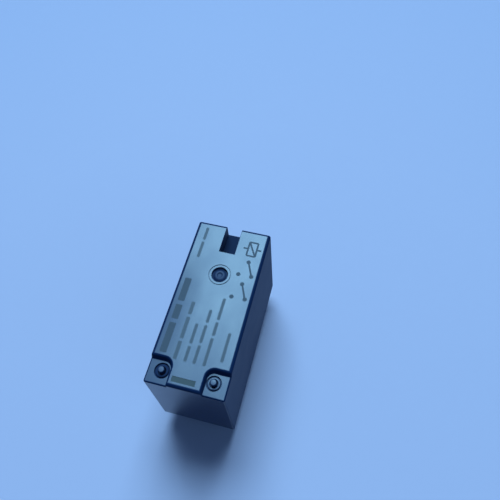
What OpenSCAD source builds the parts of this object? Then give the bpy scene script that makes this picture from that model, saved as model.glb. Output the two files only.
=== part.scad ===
// PCB power relay: sealed box with a coil and two change-over poles.
// Millimetres, +Z up. The origin is the centre of the board seat, +X points to the coil end.

/* [Body] */
// Length of the cover
body_l = 28.6; // [28.2:0.1:33]
// Width of the cover
body_w = 12.8; // [12.6:0.1:15]
// Height of the cover above the board
body_h = 20; // [19:0.1:26]
// Thickness of the cover at its rim
rim_wall = 0.8; // [0.6:0.05:1]
// Thickness of the cover's top
top_wall = 0.9; // [0.7:0.05:1.1]
// Radius of the cover's upright corners
corner_r = 0.4; // [0.4:0.05:1]
// Width and height of the bevel along the cover's top edge
edge_r = 0.3; // [0.1:0.05:0.35]

/* [Cover top] */
// Length of the notch in the contact end
notch_l = 5.1; // [3:0.1:5.5]
// Width of the notch
notch_w = 2.7; // [1.5:0.1:2.8]
// Depth of the notch
notch_d = 3; // [1:0.1:3]
// Length of a corner recess at the coil end
recess_l = 4.15; // [3.9:0.05:5]
// Distance of a corner recess from the middle line
recess_y = 2.65; // [2:0.05:2.65]
// Depth of a corner recess
recess_d = 0.93; // [0.5:0.01:1.1]
// Diameter of the groove round a stud
well_d = 2.4; // [2.1:0.1:2.4]
// Diameter of a stud
stud_d = 0.95; // [0.6:0.05:1.05]
// Distance of the gate dish from the centre
dish_x = 5; // [3:0.1:6]
// Diameter of the gate dish
dish_d = 2.76; // [2:0.02:3]

/* [Pins] */
// Length of the pins below the board seat
pin_l = 4; // [2.5:0.1:5]
// Pitch of the contact pins along the body
pin_pitch = 5.08; // [5:0.01:5.2]
// Distance of the two rows of pins from the sides
side_to_row = 2.59; // [2.5:0.01:2.7]
// Distance of the first contact pin from the end
end_to_contact = 1.2; // [1.1:0.05:1.3]
// Distance of the coil pins from the end
end_to_coil = 2; // [1.8:0.05:2.2]
// Thickness of a contact pin
pin_t = 0.4; // [0.3:0.05:0.45]
// Width of a contact pin
pin_w = 0.7; // [0.5:0.05:1]
// Side of a coil pin
coil_pin = 0.5; // [0.4:0.05:0.6]

/* [Motion] */
// Angle of the open armature
open_angle = 4.5; // [3:0.1:5]
// Height of the push rod above the board
card_z = 8.9; // [8.6:0.1:9.4]
// Height of the contacts above the board
contact_z = 12.6; // [12.2:0.1:13.2]

/* [Hidden] */
$fn = 40;
half_l = body_l / 2;
half_w = body_w / 2;
// Cutters run this far past what they cut
past = 1;
// Thin layer that a hull is stretched over
film = 0.01;

// Heights from the board up
nub_h = 0.2;
flange_z = 1.3;
floor_z = 2.5;
resin_z = 0.45;
ceiling_z = body_h - top_wall;

// The cover's wall is thicker above the base, which leaves a shoulder for it
shoulder = 0.15;
in_l = half_l - rim_wall;
in_w = half_w - rim_wall;

// Corner recesses: sloped walls, ring grooves, moats and studs
recess_x = half_l - recess_l;
recess_floor = body_h - recess_d;
recess_r = 1.4;
corner_draft = 0.3;
slope_x = 0.45;
slope_y = 0.2;
well_inset = 2.2;
well_x = half_l - well_inset;
well_side = 2.3;
well_y = half_w - well_side;
collar_groove_w = 0.22;
collar_groove_depth = 0.3;
collar_d = well_d - 2 * collar_groove_w;
moat_w = 0.16;
moat_d = stud_d + 2 * moat_w;
well_depth = 0.6;
well_floor = recess_floor - well_depth;
stud_below = 0.12;
stud_bevel = 0.15;
stud_h = body_h - stud_below - stud_bevel - well_floor;
stud_top = 0.75;
inner_wall = 0.75;
block_side = 0.4;

// Gate dish with its ring, the button left in it with a pit, and the patch at the coil end
ring_in = 3.46;
ring_out = 3.71;
ring_d = 0.12;
dish_depth = 0.48;
button_foot = 2.2;
button_top = 1.5;
button_drop = 0.15;
pit_d = 0.85;
pit_depth = 0.32;
patch_x = [1.65, 0.8];
patch_y = [-2.1, 1.6];
patch_d = 0.06;

// Pin places
row_y = half_w - side_to_row;
no_x = -half_l + end_to_contact;
com_x = no_x + pin_pitch;
nc_x = com_x + pin_pitch;
coil_x = half_l - end_to_coil;
tip_l = 1;
coil_tip_l = 0.6;
coil_tip = 0.2;

// Base plate and the plateau under it
base_gap = 0.04;
plateau_from_contacts = 1.7;
plateau_from_coil = 1.85;
plateau_side = 1.05;
chamfer_to_coil = 3.1;
chamfer_to_row = 1.76;
plateau_x0 = -half_l + plateau_from_contacts;
plateau_x1 = half_l - plateau_from_coil;
plateau_y = in_w - plateau_side;
chamfer_x = coil_x - chamfer_to_coil;
chamfer_y = row_y - chamfer_to_row;
pool_r = 1.4;
bury = 0.1;

// Wall between the poles and its pockets
wall_half = 1.5;
wall_end = 0.2;
wall_x0 = no_x + wall_end;
wall_to_nc = 0.76;
step_to_com = 0.98;
wall_x1 = nc_x - wall_to_nc;
wall_step = com_x - step_to_com;
wall_under_notch = 0.8;
lip_h = 0.6;
pocket_half = 0.87;
pocket_top = 7;
pocket_end = 0.7;
rib = 0.35;
pocket_n = 4;

// Barrier between coil and contacts, with its groove and bar
barrier_to_coil = 7;
barrier_l = 2.85;
barrier_x1 = coil_x - barrier_to_coil;
barrier_x0 = barrier_x1 - barrier_l;
barrier_top = 6.5;
barrier_side = 0.3;
post_l = 1.1;
groove_side = 0.42;
groove_roof = 1.1;
bar_at = 0.7;
bar_t = 0.75;
bar_z = 0.55;

// Marks and nubs under the base
mark_to_coil = 5.3;
mark_x = coil_x - mark_to_coil;
mark_r = 1.15;
mark_t = 0.2;
mark_d = 0.12;
dimple_r = 0.35;
nub_r = 0.5;
nub_to_coil = 3.49;
nub_to_row = 0.98;
nub_past_nc = 0.91;
nub_x = coil_x - nub_to_coil;
nub_y = row_y - nub_to_row;
lone_nub_x = nc_x + nub_past_nc;

// Magnet
iron_t = 1.2;
pole_drop = 5;
pole_t = 0.8;
pole_rim = 0.2;
pole_z = body_h - pole_drop;
yoke_gap = 0.1;
yoke_x = barrier_x1 + yoke_gap;
yoke_side = 2;
leg_side = 0.81;
yoke_half = in_w - yoke_side;
leg_half = row_y - leg_side;
leg_inset = 1.7;
leg_end = half_l - leg_inset;

// Coil
flange_t = 0.8;
coil_end = 1.2;
bobbin_x0 = yoke_x + iron_t + yoke_gap;
bobbin_x1 = half_l - coil_end;
axis_x = (bobbin_x0 + bobbin_x1) / 2;
wind_inset = 0.2;
wind_r = (bobbin_x1 - bobbin_x0) / 2 - wind_inset;
core_r = 1.5;
spigot_r = 1.2;
core_gap = 0.05;
wire_gap = 0.02;
tube_r = 2;
bobbin_z0 = floor_z + iron_t;
bobbin_z1 = pole_z - pole_t;
bobbin_side = 0.8;
bobbin_half = row_y + bobbin_side;
wrap_r = 0.55;
wrap_h = 1.3;
strand_r = 0.12;
post_h = 1.7;

// Armature on the yoke's outer top edge
arm_gap = 0.06;
arm_t = 1.1;
arm_half = 3.2;
tail_half = 1.6;
arm_l = leg_end - yoke_x;
tail_drop = 1.3;
tail_z = card_z - tail_drop;
tail_face = yoke_x - arm_gap - arm_t;
leaf_t = 0.2;
leaf_gap = 0.12;
leaf_half = 2.9;
leaf_lift = 0.4;
window_side = 0.3;
window_l = 0.5;

// Contacts, from the spring outwards
blade_t = pin_t;
blade_half = 1.25;
head_t = 0.45;
head_r = 1.1;
head_bevel = 0.15;
head_flat = 0.75;
shank_r = 0.5;
shank_gap = 0.02;
rivet_r = 0.8;
rivet_t = 0.2;
tab_half = 1.05;
tab_h = 3.1;
spring_half = 1.2;
waist_half = 0.85;
root_h = 3;
spring_foot = 0.1;
spring_x = com_x - blade_t / 2;
spring_z = floor_z + spring_foot;
lever = pole_z - card_z;
push = lever * tan(open_angle);
throw = push * (contact_z - spring_z) / (card_z - spring_z);
touch_gap = 0.03;
open_gap = 0.1;
nc_face = spring_x + 2 * head_t + touch_gap;
no_face = spring_x - leaf_t - 2 * head_t - throw - open_gap;

// Push rod
rod_half = 0.95;
rod_h = 1.4;
rod_gap = 0.05;
bar_room = 0.2;
rod_end = tail_face - touch_gap;
rod_nose = 0.5;
bar_past_row = 0.8;
bar_half = row_y + bar_past_row;
nose_r = 0.35;
bar_x = spring_x + touch_gap;

// A box between two bounds on each axis
module span(x, y, z) {
    translate([x[0], y[0], z[0]]) cube([x[1] - x[0], y[1] - y[0], z[1] - z[0]]);
}

// A flat outline in y and z, given a thickness along x from x0
module sheet_x(x0, t) {
    translate([x0, 0, 0]) rotate([90, 0, 90]) linear_extrude(t) children();
}

// A flat outline in x and z, given a width along y about the middle
module sheet_y(half) {
    translate([0, half, 0]) rotate([90, 0, 0]) linear_extrude(2 * half) children();
}

// Both sides of the middle line
module both_sides() {
    children();
    mirror([0, 1, 0]) children();
}

// Cover

module cover_block() {
    hull() for (sx = [-1, 1], sy = [-1, 1])
        translate([sx * (half_l - corner_r), sy * (half_w - corner_r), 0]) {
            cylinder(r = corner_r, h = body_h - edge_r);
            cylinder(r = corner_r - edge_r, h = body_h);
        }
}

// One level of a corner recess, with its inner corner moved in by the slope
module recess_level(z, inset) {
    x0 = recess_x + inset * slope_x;
    y0 = recess_y + inset * slope_y;
    far_x = half_l + past;
    far_y = half_w + past;
    r = recess_r - inset * corner_draft;
    translate([x0 + r, y0 + r, z]) cylinder(r = r, h = film);
    span([x0, far_x], [far_y - film, far_y], [z, z + film]);
    span([far_x - film, far_x], [y0, far_y], [z, z + film]);
}

// What is cut round a stud: a moat at its foot and a ring groove, which leave a collar between them
module stud_moat() {
    translate([0, 0, well_floor]) cylinder(d = moat_d, h = well_depth + collar_groove_depth);
    difference() {
        translate([0, 0, recess_floor - collar_groove_depth]) cylinder(d = well_d, h = 2 * collar_groove_depth);
        translate([0, 0, recess_floor - past]) cylinder(d = collar_d, h = 2 * past);
    }
}

module corner_recess() {
    hull() {
        recess_level(recess_floor, 1);
        recess_level(body_h, 0);
    }
}

// What stays solid inside the cavity under the recesses, wells and notch
module cavity_blocks() {
    both_sides() {
        span(
            [recess_x - block_side, half_l],
            [recess_y - block_side, half_w],
            [recess_floor - inner_wall, body_h]
        );
        translate([well_x, well_y, well_floor - inner_wall])
            cylinder(d = well_d + 2 * inner_wall, h = body_h);
    }
    span(
        [-half_l, -half_l + notch_l + inner_wall],
        [-notch_w / 2 - inner_wall, notch_w / 2 + inner_wall],
        [body_h - notch_d - inner_wall, body_h]
    );
}

module cover_cavity() {
    span([-in_l, in_l], [-in_w, in_w], [-past, floor_z]);
    difference() {
        span([-in_l + shoulder, in_l - shoulder], [-in_w + shoulder, in_w - shoulder], [flange_z, ceiling_z]);
        cavity_blocks();
    }
}

// Round gate mark: thin ring, and a dish with a raised button that has a pit
module gate_dish() {
    translate([-dish_x, 0, body_h]) {
        difference() {
            translate([0, 0, -ring_d]) cylinder(d = ring_out, h = past);
            translate([0, 0, -past]) cylinder(d = ring_in, h = 3 * past);
        }
        difference() {
            translate([0, 0, -dish_depth]) cylinder(d = dish_d, h = past);
            translate([0, 0, -dish_depth])
                cylinder(d1 = button_foot, d2 = button_top, h = dish_depth - button_drop);
        }
        translate([0, 0, -pit_depth]) cylinder(d = pit_d, h = past);
    }
}

module cover() {
    color([0.05, 0.055, 0.06]) {
        difference() {
            cover_block();
            cover_cavity();
            span(
                [-half_l - past, -half_l + notch_l],
                [-notch_w / 2, notch_w / 2],
                [body_h - notch_d, body_h + past]
            );
            gate_dish();
            span([half_l - patch_x[0], half_l - patch_x[1]], patch_y, [body_h - patch_d, body_h + past]);
            both_sides() {
                corner_recess();
                translate([well_x, well_y]) stud_moat();
            }
        }
        both_sides() translate([well_x, well_y, well_floor]) {
            cylinder(d = stud_d, h = stud_h);
            translate([0, 0, stud_h]) cylinder(d1 = stud_d, d2 = stud_d * stud_top, h = stud_bevel);
        }
    }
}

// Base

module plateau_outline() {
    difference() {
        polygon([
            [plateau_x0, -plateau_y], [chamfer_x, -plateau_y], [plateau_x1, -chamfer_y],
            [plateau_x1, chamfer_y], [chamfer_x, plateau_y], [plateau_x0, plateau_y]
        ]);
        for (x = [no_x, com_x, nc_x], y = [-row_y, row_y]) translate([x, y]) circle(pool_r);
    }
}

// Holes for the eight pins
module pin_holes() {
    for (y = [-row_y, row_y]) {
        for (x = [no_x, com_x, nc_x])
            span([x - pin_t / 2, x + pin_t / 2], [y - pin_w / 2, y + pin_w / 2], [-past, floor_z + past]);
        span(
            [coil_x - coil_pin / 2, coil_x + coil_pin / 2],
            [y - coil_pin / 2, y + coil_pin / 2],
            [-past, floor_z + past]
        );
    }
}

// Pockets that core out the wall between the poles
module wall_pockets() {
    first = wall_x0 + pocket_end;
    last = wall_x1 - pocket_end;
    step = (last - first + rib) / pocket_n;
    for (i = [0 : pocket_n - 1])
        span(
            [first + i * step, first + (i + 1) * step - rib],
            [-pocket_half, pocket_half],
            [-past, pocket_top]
        );
}

// Groove that cores out the barrier, with a stiffening bar left in it
module barrier_groove() {
    x0 = barrier_x0 + groove_side;
    x1 = barrier_x1 - groove_side;
    difference() {
        span([x0, x1], [-row_y, row_y], [-past, barrier_top - groove_roof]);
        span([x0 + bar_at, x0 + bar_at + bar_t], [-row_y - past, row_y + past], [bar_z, barrier_top]);
    }
}

// Upright walls on the base plate
module base_walls() {
    lip = card_z - rod_h / 2 + lip_h;
    // between the poles, low where the push rod runs and high at the end
    span([wall_x0, wall_x1], [-wall_half, wall_half], [flange_z, lip]);
    span(
        [wall_x0, wall_step],
        [-wall_half, wall_half],
        [flange_z, body_h - notch_d - inner_wall - wall_under_notch]
    );
    // between coil and contacts, with a post for the push rod
    span([barrier_x0, barrier_x1], [-in_w + barrier_side, in_w - barrier_side], [flange_z, barrier_top]);
    span([barrier_x0, barrier_x0 + post_l], [-wall_half, wall_half], [flange_z, lip]);
}

// Ring and dimple where the base was moulded
module gate_mark() {
    translate([mark_x, 0, 0]) {
        difference() {
            cylinder(r = mark_r, h = nub_h + mark_d);
            translate([0, 0, -past]) cylinder(r = mark_r - mark_t, h = 3 * past);
        }
        cylinder(r = dimple_r, h = nub_h + mark_d);
    }
}

module base() {
    color([0.06, 0.06, 0.065]) {
        difference() {
            union() {
                span([-in_l + base_gap, in_l - base_gap], [-in_w + base_gap, in_w - base_gap], [flange_z, floor_z]);
                translate([0, 0, nub_h]) linear_extrude(flange_z - nub_h + bury) plateau_outline();
                base_walls();
            }
            // channel for the push rod
            span(
                [wall_step - film, barrier_x0 + post_l + past],
                [-rod_half - arm_gap, rod_half + arm_gap],
                [card_z - rod_h / 2 - rod_gap, body_h]
            );
            // room for the cross bar over its travel
            span(
                [bar_x - push - bar_room, bar_x + 2 * nose_r + bar_room],
                [-in_w, in_w],
                [card_z - rod_h / 2 - rod_gap, body_h]
            );
            pin_holes();
            wall_pockets();
            barrier_groove();
            gate_mark();
        }
        for (y = [-nub_y, nub_y]) translate([nub_x, y, 0]) cylinder(r = nub_r, h = nub_h + bury);
        translate([lone_nub_x, 0, 0]) cylinder(r = nub_r, h = nub_h + bury);
    }
}

module sealing_resin() {
    color([0.10, 0.11, 0.12]) difference() {
        translate([0, 0, resin_z]) linear_extrude(flange_z - resin_z) difference() {
            square([2 * in_l, 2 * in_w], center = true);
            plateau_outline();
        }
        pin_holes();
    }
}

// Coil

module bobbin() {
    color([0.85, 0.84, 0.78]) difference() {
        union() {
            for (z = [bobbin_z0, bobbin_z1 - flange_t])
                span([bobbin_x0, bobbin_x1], [-bobbin_half, bobbin_half], [z, z + flange_t]);
            translate([axis_x, 0, bobbin_z0]) cylinder(r = tube_r, h = bobbin_z1 - bobbin_z0);
        }
        translate([axis_x, 0, 0]) cylinder(r = core_r + core_gap, h = body_h);
        both_sides() span(
            [coil_x - coil_pin / 2, coil_x + coil_pin / 2],
            [row_y - coil_pin / 2, row_y + coil_pin / 2],
            [0, bobbin_z0 + flange_t + past]
        );
    }
}

module coil_winding() {
    color([0.72, 0.36, 0.16]) translate([axis_x, 0, bobbin_z0 + flange_t + wire_gap]) difference() {
        cylinder(r = wind_r, h = bobbin_z1 - bobbin_z0 - 2 * flange_t - 2 * wire_gap);
        translate([0, 0, -past]) cylinder(r = tube_r + wire_gap, h = body_h);
    }
}

// Wire end: a few turns round the post and a strand towards the winding
module coil_lead() {
    z0 = bobbin_z0 + flange_t + core_gap;
    to_axis = [axis_x - coil_x, -row_y];
    far = norm(to_axis) - wind_r - core_gap;
    hole = coil_pin / 2 + wire_gap / 2;
    color([0.78, 0.42, 0.2]) difference() {
        union() {
            translate([coil_x, row_y, z0]) cylinder(r = wrap_r, h = wrap_h);
            translate([coil_x, row_y, z0 + wrap_h / 2]) rotate([0, 0, atan2(to_axis[1], to_axis[0])])
                rotate([0, 90, 0]) cylinder(r = strand_r, h = far, $fn = 16);
        }
        span([coil_x - hole, coil_x + hole], [row_y - hole, row_y + hole], [0, body_h]);
    }
}

// Outline of a square post with a pointed end, about its middle line
function post_outline(z1) = [
    [-coil_pin / 2, z1], [-coil_pin / 2, -pin_l + coil_tip_l], [-coil_tip / 2, -pin_l],
    [coil_tip / 2, -pin_l], [coil_pin / 2, -pin_l + coil_tip_l], [coil_pin / 2, z1]
];

module coil_terminal() {
    z1 = bobbin_z0 + flange_t + post_h;
    color([0.75, 0.75, 0.74]) translate([coil_x, row_y, 0]) intersection() {
        sheet_x(-coil_pin / 2, coil_pin) polygon(post_outline(z1));
        sheet_y(coil_pin / 2) polygon(post_outline(z1));
    }
}

// Magnet

module core() {
    color([0.66, 0.66, 0.68]) translate([axis_x, 0, 0]) {
        translate([0, 0, floor_z]) cylinder(r = spigot_r, h = iron_t + film);
        translate([0, 0, bobbin_z0]) cylinder(r = core_r, h = bobbin_z1 - bobbin_z0 + bury);
        translate([0, 0, bobbin_z1]) cylinder(r = wind_r - pole_rim, h = pole_t);
    }
}

module yoke() {
    color([0.62, 0.63, 0.65]) difference() {
        union() {
            span([yoke_x, leg_end], [-leg_half, leg_half], [floor_z, floor_z + iron_t]);
            span([yoke_x, yoke_x + iron_t], [-yoke_half, yoke_half], [floor_z, pole_z]);
        }
        translate([axis_x, 0, 0]) cylinder(r = spigot_r + wire_gap, h = floor_z + iron_t + past);
    }
}

// Points of the armature's bend about the hinge edge, from the tail round to the plate
function bend(r) = [
    for (i = [0 : 8])
        let (a = 180 - i * (90 - open_angle) / 8) [yoke_x + r * cos(a), pole_z + r * sin(a)]
];

module armature() {
    inner = bend(arm_gap);
    outer = bend(arm_gap + arm_t);
    reach = [arm_l * cos(open_angle), arm_l * sin(open_angle)];
    color([0.68, 0.69, 0.71]) {
        // tail with the bend
        sheet_y(tail_half) polygon(concat(
            [[yoke_x - arm_gap, tail_z], [tail_face, tail_z]],
            outer,
            [outer[8] + reach / 8, inner[8] + reach / 8],
            [for (i = [8 : -1 : 0]) inner[i]]
        ));
        // plate over the core
        sheet_y(arm_half) polygon([inner[8], outer[8], outer[8] + reach, inner[8] + reach]);
    }
}

// A point on the open armature: u along its plate, v up from the hinge edge
function on_plate(u, v) = [
    yoke_x + u * cos(open_angle) - v * sin(open_angle),
    pole_z + u * sin(open_angle) + v * cos(open_angle)
];

// Leaf on the armature's back, with two arms down the yoke's face beside the tail
module hinge_spring() {
    v0 = arm_gap + arm_t;
    v1 = v0 + leaf_t;
    u0 = (v0 * sin(open_angle) - leaf_gap) / cos(open_angle);
    u1 = (v1 * sin(open_angle) - leaf_gap - leaf_t) / cos(open_angle);
    reach = arm_l * 0.55;
    foot = card_z + leaf_lift;
    color([0.78, 0.56, 0.3]) difference() {
        sheet_y(leaf_half) polygon([
            [yoke_x - leaf_gap, foot], on_plate(u0, v0), on_plate(reach, v0),
            on_plate(reach, v1), on_plate(u1, v1), [yoke_x - leaf_gap - leaf_t, foot]
        ]);
        // window for the tail
        span(
            [yoke_x - arm_t - past, yoke_x + window_l],
            [-tail_half - window_side, tail_half + window_side],
            [0, body_h]
        );
    }
}

// Push rod with a cross bar for both contact springs
module card() {
    z = [card_z - rod_h / 2, card_z + rod_h / 2];
    color([0.88, 0.86, 0.8]) {
        span([bar_x + nose_r, rod_end - rod_nose], [-rod_half, rod_half], z);
        span([bar_x + nose_r, bar_x + 2 * nose_r], [-bar_half, bar_half], z);
        translate([bar_x + nose_r, bar_half, card_z]) rotate([90, 0, 0]) cylinder(r = nose_r, h = 2 * bar_half);
        translate([rod_end - rod_nose, rod_half, card_z]) rotate([90, 0, 0])
            cylinder(r = rod_nose, h = 2 * rod_half);
    }
}

// Contacts

module moving_spring() {
    color([0.8, 0.5, 0.28]) difference() {
        sheet_x(spring_x - leaf_t, leaf_t) translate([row_y, 0]) {
            translate([-tab_half, spring_z]) square([2 * tab_half, root_h]);
            translate([-waist_half, spring_z]) square([2 * waist_half, contact_z - spring_z]);
            translate([-spring_half, card_z - rod_h]) square([2 * spring_half, contact_z - card_z + rod_h]);
            translate([0, contact_z]) circle(spring_half);
        }
        translate([spring_x - past, row_y, contact_z]) rotate([0, 90, 0])
            cylinder(r = shank_r + shank_gap, h = 2 * past);
    }
}

// A contact head with a bevelled rim, standing on its back with its face towards +Z
module contact_head() {
    cylinder(r = head_r, h = head_t - head_bevel);
    translate([0, 0, head_t - head_bevel]) cylinder(r1 = head_r, r2 = head_flat, h = head_bevel);
}

module moving_contact() {
    color([0.8, 0.8, 0.8]) translate([spring_x, row_y, contact_z]) {
        rotate([0, 90, 0]) contact_head();
        translate([-leaf_t, 0, 0]) {
            rotate([0, -90, 0]) contact_head();
            rotate([0, 90, 0]) cylinder(r = shank_r, h = leaf_t);
        }
    }
}

// Solder tail of a contact terminal, up into the base
module solder_tail(x) {
    sheet_x(x - pin_t / 2, pin_t) translate([row_y, 0]) polygon([
        [-pin_w / 2, floor_z + bury], [-pin_w / 2, -pin_l + tip_l], [-pin_w / 6, -pin_l],
        [pin_w / 6, -pin_l], [pin_w / 2, -pin_l + tip_l], [pin_w / 2, floor_z + bury]
    ]);
}

// Upright blade with a rounded head for a contact rivet
module blade(x0) {
    difference() {
        sheet_x(x0, blade_t) translate([row_y, 0]) {
            translate([-blade_half, floor_z]) square([2 * blade_half, contact_z - floor_z]);
            translate([0, contact_z]) circle(blade_half);
        }
        translate([x0 - past, row_y, contact_z]) rotate([0, 90, 0])
            cylinder(r = shank_r + shank_gap, h = blade_t + 2 * past);
    }
}

// Rivet through a fixed blade: dir is +1 where the contact faces +X
module fixed_contact(x, dir) {
    color([0.8, 0.8, 0.8]) translate([x, row_y, contact_z]) rotate([0, dir * 90, 0]) {
        contact_head();
        translate([0, 0, -blade_t]) cylinder(r = shank_r, h = blade_t + film);
        translate([0, 0, -blade_t - rivet_t]) cylinder(r = rivet_r, h = rivet_t);
    }
}

module com_terminal() {
    color([0.76, 0.7, 0.55]) {
        solder_tail(com_x);
        span(
            [com_x - blade_t / 2, com_x + blade_t / 2],
            [row_y - tab_half, row_y + tab_half],
            [floor_z, floor_z + tab_h]
        );
    }
}

module nc_terminal() {
    color([0.76, 0.7, 0.55]) {
        solder_tail(nc_x);
        span([nc_face, nc_x + pin_t / 2], [row_y - blade_half, row_y + blade_half], [floor_z, floor_z + blade_t]);
        blade(nc_face);
    }
}

module no_terminal() {
    color([0.76, 0.7, 0.55]) {
        solder_tail(no_x);
        span(
            [no_x - pin_t / 2, no_face],
            [row_y - blade_half, row_y + blade_half],
            [floor_z, floor_z + blade_t]
        );
        blade(no_face - blade_t);
    }
}

module side_b() {
    mirror([0, 1, 0]) children();
}

// Pole a on the +Y side, pole b on the -Y side

module coil_lead_a() coil_lead();
module coil_lead_b() side_b() coil_lead();
module coil_terminal_a() coil_terminal();
module coil_terminal_b() side_b() coil_terminal();
module moving_spring_a() moving_spring();
module moving_spring_b() side_b() moving_spring();
module moving_contact_a() moving_contact();
module moving_contact_b() side_b() moving_contact();
module com_terminal_a() com_terminal();
module com_terminal_b() side_b() com_terminal();
module nc_terminal_a() nc_terminal();
module nc_terminal_b() side_b() nc_terminal();
module no_terminal_a() no_terminal();
module no_terminal_b() side_b() no_terminal();
module nc_contact_a() fixed_contact(nc_face, -1);
module nc_contact_b() side_b() fixed_contact(nc_face, -1);
module no_contact_a() fixed_contact(no_face, 1);
module no_contact_b() side_b() fixed_contact(no_face, 1);

cover();
base();
sealing_resin();
bobbin();
coil_winding();
coil_lead_a();
coil_lead_b();
coil_terminal_a();
coil_terminal_b();
core();
yoke();
armature();
hinge_spring();
card();
moving_spring_a();
moving_spring_b();
moving_contact_a();
moving_contact_b();
com_terminal_a();
com_terminal_b();
nc_terminal_a();
nc_terminal_b();
no_terminal_a();
no_terminal_b();
nc_contact_a();
nc_contact_b();
no_contact_a();
no_contact_b();
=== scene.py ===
"""Looks of a sealed PCB power relay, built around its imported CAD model."""

import math

import bmesh
import bpy
import numpy as np
from bpy.props import FloatProperty, FloatVectorProperty, PointerProperty
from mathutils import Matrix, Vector


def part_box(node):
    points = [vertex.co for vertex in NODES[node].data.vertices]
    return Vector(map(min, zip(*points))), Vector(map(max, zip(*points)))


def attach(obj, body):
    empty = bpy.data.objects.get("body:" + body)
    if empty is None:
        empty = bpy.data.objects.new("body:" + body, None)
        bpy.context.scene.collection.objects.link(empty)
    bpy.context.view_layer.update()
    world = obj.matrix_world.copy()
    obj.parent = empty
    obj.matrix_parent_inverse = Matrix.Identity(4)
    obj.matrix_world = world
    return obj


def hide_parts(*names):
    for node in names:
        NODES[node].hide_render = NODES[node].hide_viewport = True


bl_info = {
    "name": "PCB power relay",
    "version": (1, 0, 0),
    "blender": (4, 5, 0),
    "location": "View3D > Sidebar > Relay",
    "description": "Dresses the CAD model of a sealed PCB power relay",
    "category": "Object",
}

MM = 0.001
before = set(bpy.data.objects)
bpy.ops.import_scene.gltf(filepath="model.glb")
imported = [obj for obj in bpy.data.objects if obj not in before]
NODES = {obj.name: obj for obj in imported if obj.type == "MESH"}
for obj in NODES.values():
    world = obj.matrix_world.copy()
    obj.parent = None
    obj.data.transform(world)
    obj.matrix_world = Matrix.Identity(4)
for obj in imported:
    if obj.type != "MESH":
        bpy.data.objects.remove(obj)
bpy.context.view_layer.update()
PIN_TIP_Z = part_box("no_terminal_a")[0][2]

# Places on the cover in millimetres, as in the CAD source
HALF_L, HALF_W, TOP_Z = Vector(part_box("cover")[1]) / MM
RIM_WALL = 0.8
SHOULDER = 0.15
CEILING_Z = TOP_Z - 0.9
BASE_TOP_Z = 2.5
FLANGE_Z = 1.3
RESIN_Z = 0.45
NOTCH = {"length": 5.1, "width": 2.7, "depth": 3.0}
RECESS = {"x": HALF_L - 4.15, "y": 2.65, "depth": 0.93, "radius": 1.4}
RECESS_DRAFT = {"x": 0.45, "y": 0.2, "radius": 0.3}
RECESS_Z = TOP_Z - RECESS["depth"]
RECESS_STEPS = 12
# Round each stud a moat, a collar and a ring groove
STUD = {"x": HALF_L - 2.2, "y": 4.1, "d": 0.95, "below_top": 0.12, "tip": 0.1, "root": 0.3, "middle": 0.08}
STUD_SIDES, TIP_STEPS = 48, 6
MOAT = {"d": 1.27, "depth": 0.6, "sides": 64}
GROOVE = {"in": 1.96, "out": 2.4, "depth": 0.3, "sides": 80}
# Plastic left under and beside what is sunk into the top
SKIN = 0.75
SIDE_SKIN = 0.4
# Points nearer than this are one
MERGE = 0.003
# Turns of wire: their spacing, the depth between them as a share of it, and how finely they are drawn
WIRE_PITCH = 0.18
WIRE_GROOVE = 0.35
WIRE_STEPS = 4
WINDING_BORE = 2.02
WINDING_SIDES = 72
# Grid of the resin's surface: its step, how fast the climb dies away and how far it runs into the walls
RESIN_STEP = 0.09
RESIN_REACH = 0.3
RESIN_SINK = 0.1
# Gap between the resin's back and the flange of the base
RESIN_GAP = 0.02
DISH = {"x": -5.0, "ring_in": 3.46, "ring_out": 3.71, "ring_depth": 0.12, "reach": 2.0}
DISH_SIDES, RING_SIDES = 64, 80
# Section of the gate dish from its middle out: a pit in a raised button, a groove and the wall
DISH["profile"] = [
    (0.04, -0.3),
    (0.3, -0.33),
    (0.4, -0.28),
    (0.48, -0.16),
    (0.56, -0.14),
    (0.72, -0.17),
    (0.9, -0.25),
    (1.02, -0.38),
    (1.14, -0.48),
    (1.26, -0.5),
    (1.35, -0.42),
    (1.38, -0.3),
    (1.38, 1.0),
]
# Sunk patch between the corner recesses, off the middle
PATCH = {"x": (HALF_L - 1.65, HALF_L - 0.8), "y": (-2.1, 1.6), "depth": 0.06}
# How far a cutting tool reaches past what it cuts: an upright, a slanted and a shallow one
PAST = 1.0
SLANT_PAST = 0.3
SHALLOW_PAST = 0.1
# How near a point lies to a level, a recess floor, a groove's rim or a wall to be on it
AT_LEVEL = 0.01
AT_FLOOR = 0.02
AT_GROOVE = 0.03
AT_WALL = 0.05
# How far it lies from the board or an outer side to be clear of it
OFF_BOARD = 1.0
OFF_SIDE = 0.5
# Angles in degrees past which an edge is sharp, and under which two faces are one
SHARP_ANGLE = 28
FLAT_ANGLE = 0.5
# A face whose normal has a part above this lies square to an axis
SQUARE = 0.9999
SHOWN_RAYS = ("Camera", "Glossy", "Transmission")
TERMINALS = [f"{kind}_terminal_{pole}" for kind in ("com", "nc", "no", "coil") for pole in "ab"]
# Printed rows: from, to, middle, height and the lengths of the bars in it
PRINT_ROWS = (
    (-3.2, 9.6, -4.75, 1.1, (5, 3, 6)),
    (-13.2, -7.3, -4.5, 0.5, (4, 5)),
    (0.6, 10.2, -2.65, 0.6, (3, 5, 4)),
    (4.0, 10.2, -1.0, 0.5, (4, 3)),
    (1.3, 10.2, 0.45, 0.5, (3, 4, 4)),
    (-1.1, 10.2, 2.02, 0.5, (5, 3, 6)),
    (4.3, 9.0, 4.45, 0.5, (1,)),
)
# Gap between two bars, as a share of their height and a fixed part
BAR_GAP = (0.42, 0.2)
BAR_CORNER = 0.16
# Bars higher than this are bold
BOLD_HEIGHT = 1
# How deep the ink reaches into the cover
INK_ROOT = 0.03
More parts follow.
